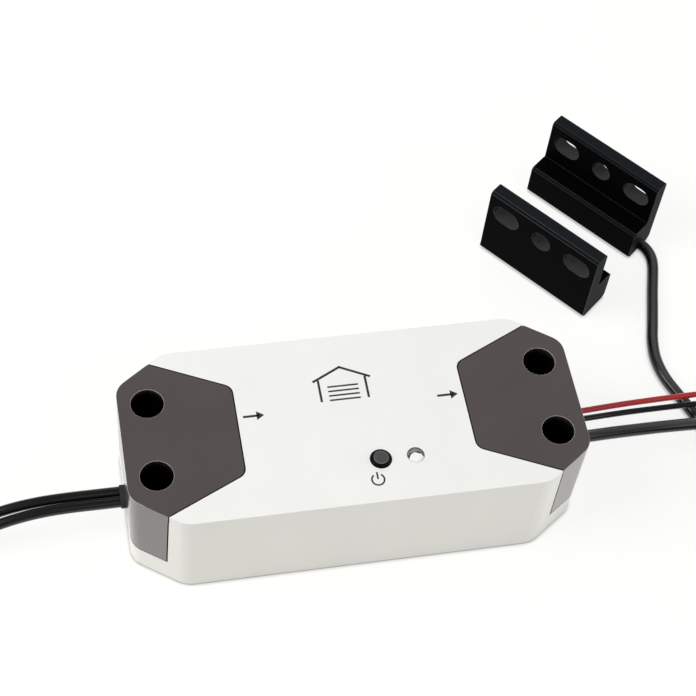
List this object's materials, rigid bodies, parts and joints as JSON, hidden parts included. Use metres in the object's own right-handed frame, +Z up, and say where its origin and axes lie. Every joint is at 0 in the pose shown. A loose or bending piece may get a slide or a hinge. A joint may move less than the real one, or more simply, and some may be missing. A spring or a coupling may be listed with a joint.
{
  "type": "garage door controller",
  "caption": "Mains powered garage door controller in a white eight-sided housing with dark end covers, push button and status light, wired to a magnetic door contact pair.",
  "frame": {"origin": "middle of the controller unit's underside", "axes": "+X along the unit from the input end to the output end, +Y across it towards the door contact pair, +Z up"},
  "size_m": [0.2562, 0.1352, 0.0282],
  "materials": {
    "white_plastic": "satin moulded white",
    "grey_plastic": "fine matt moulded warm grey",
    "black_plastic": "satin moulded black",
    "black_rubber": "soft matt",
    "steel": "zinc plated",
    "dark_steel": "black zinc",
    "board_green": "solder mask",
    "terminal_green": "moulded",
    "fuse_ceramic": "glazed body with plated caps",
    "varistor_blue": "dipped resin",
    "capacitor_yellow": "moulded box",
    "capacitor_sleeve": "shrink sleeve",
    "chip_black": "moulded package",
    "ferrite": "sintered",
    "winding_tape": "film tape over wire",
    "relay_blue": "moulded",
    "copper": "bare metal",
    "radio_blue": "solder mask",
    "shield_tin": "tin plate",
    "button_grey": "satin moulded grey",
    "led_white": "diffuse package",
    "clear_plastic": "clear moulded light pipe",
    "reed_glass": "green sealing glass",
    "resin": "poured epoxy",
    "wire_black": "soft insulation",
    "wire_red": "soft insulation",
    "core_white": "soft insulation"
  },
  "bodies": {
    "controller": {"upper_housing": "white_plastic", "base_plate": "white_plastic", "base_screws": "steel", "input_grommet": "black_rubber", "output_grommet": "black_rubber", "circuit_board": "board_green", "board_screws": "steel", "input_terminal": "terminal_green", "output_terminal": "terminal_green", "input_terminal_screws": "steel", "output_terminal_screws": "steel", "fuse": "fuse_ceramic", "varistor": "varistor_blue", "mains_filter_capacitor": "capacitor_yellow", "bridge_rectifier": "chip_black", "bulk_capacitor": "capacitor_sleeve", "output_capacitor": "capacitor_sleeve", "converter_chip": "chip_black", "transformer_core": "ferrite", "transformer_winding": "winding_tape", "relay_base": "relay_blue", "relay_case": "relay_blue", "relay_coil": "copper", "relay_yoke": "steel", "relay_contacts": "copper", "radio_board": "radio_blue", "radio_shield": "shield_tin", "tact_switch": "chip_black", "status_led": "led_white", "light_pipe": "clear_plastic", "reed_housing": "black_plastic", "reed_capsule": "reed_glass", "reed_filling": "resin", "input_wire_front": "wire_black", "input_wire_rear": "wire_black", "input_wire_ends": "copper", "output_wire_red": "wire_red", "output_wire_black": "wire_black", "output_wire_ends": "copper", "sensor_lead": "wire_black", "sensor_lead_coil": "wire_black", "sensor_lead_far": "wire_black", "sensor_lead_cores": "core_white", "lead_tie": "black_plastic"},
    "button": {"button_cap": "button_grey", "switch_plunger": "chip_black"},
    "input_end": {"input_cover": "grey_plastic", "input_cover_screws": "dark_steel"},
    "output_end": {"output_cover": "grey_plastic", "output_cover_screws": "dark_steel"},
    "armature": {"relay_armature": "steel"},
    "magnet_half": {"magnet_housing": "black_plastic", "bar_magnet": "ferrite", "magnet_filling": "resin"}
  },
  "joints": [
    {"name": "button_press", "type": "slide", "parent": "controller", "child": "button", "axis": [0, 0, -1], "range_m": [0, 0.0004], "stiffness_N_per_m": 3000, "springref_m": -0.0003},
    {"name": "input_cover_lift", "type": "slide", "parent": "controller", "child": "input_end", "axis": [0, 0, 1], "range_m": [0, 0.03]},
    {"name": "output_cover_lift", "type": "slide", "parent": "controller", "child": "output_end", "axis": [0, 0, 1], "range_m": [0, 0.03]},
    {"name": "relay_pull", "type": "hinge", "parent": "controller", "child": "armature", "pos_m": [0.0018, 0.0068, 0.0182], "axis": [0, 1, 0], "range_deg": [0, 3.8], "stiffness_Nm_per_rad": 0.02, "springref_deg": -2.86},
    {"name": "door_travel", "type": "slide", "parent": "controller", "child": "magnet_half", "axis": [0.766, 0.6428, 0], "range_m": [-0.012, 0.012]}
  ]
}
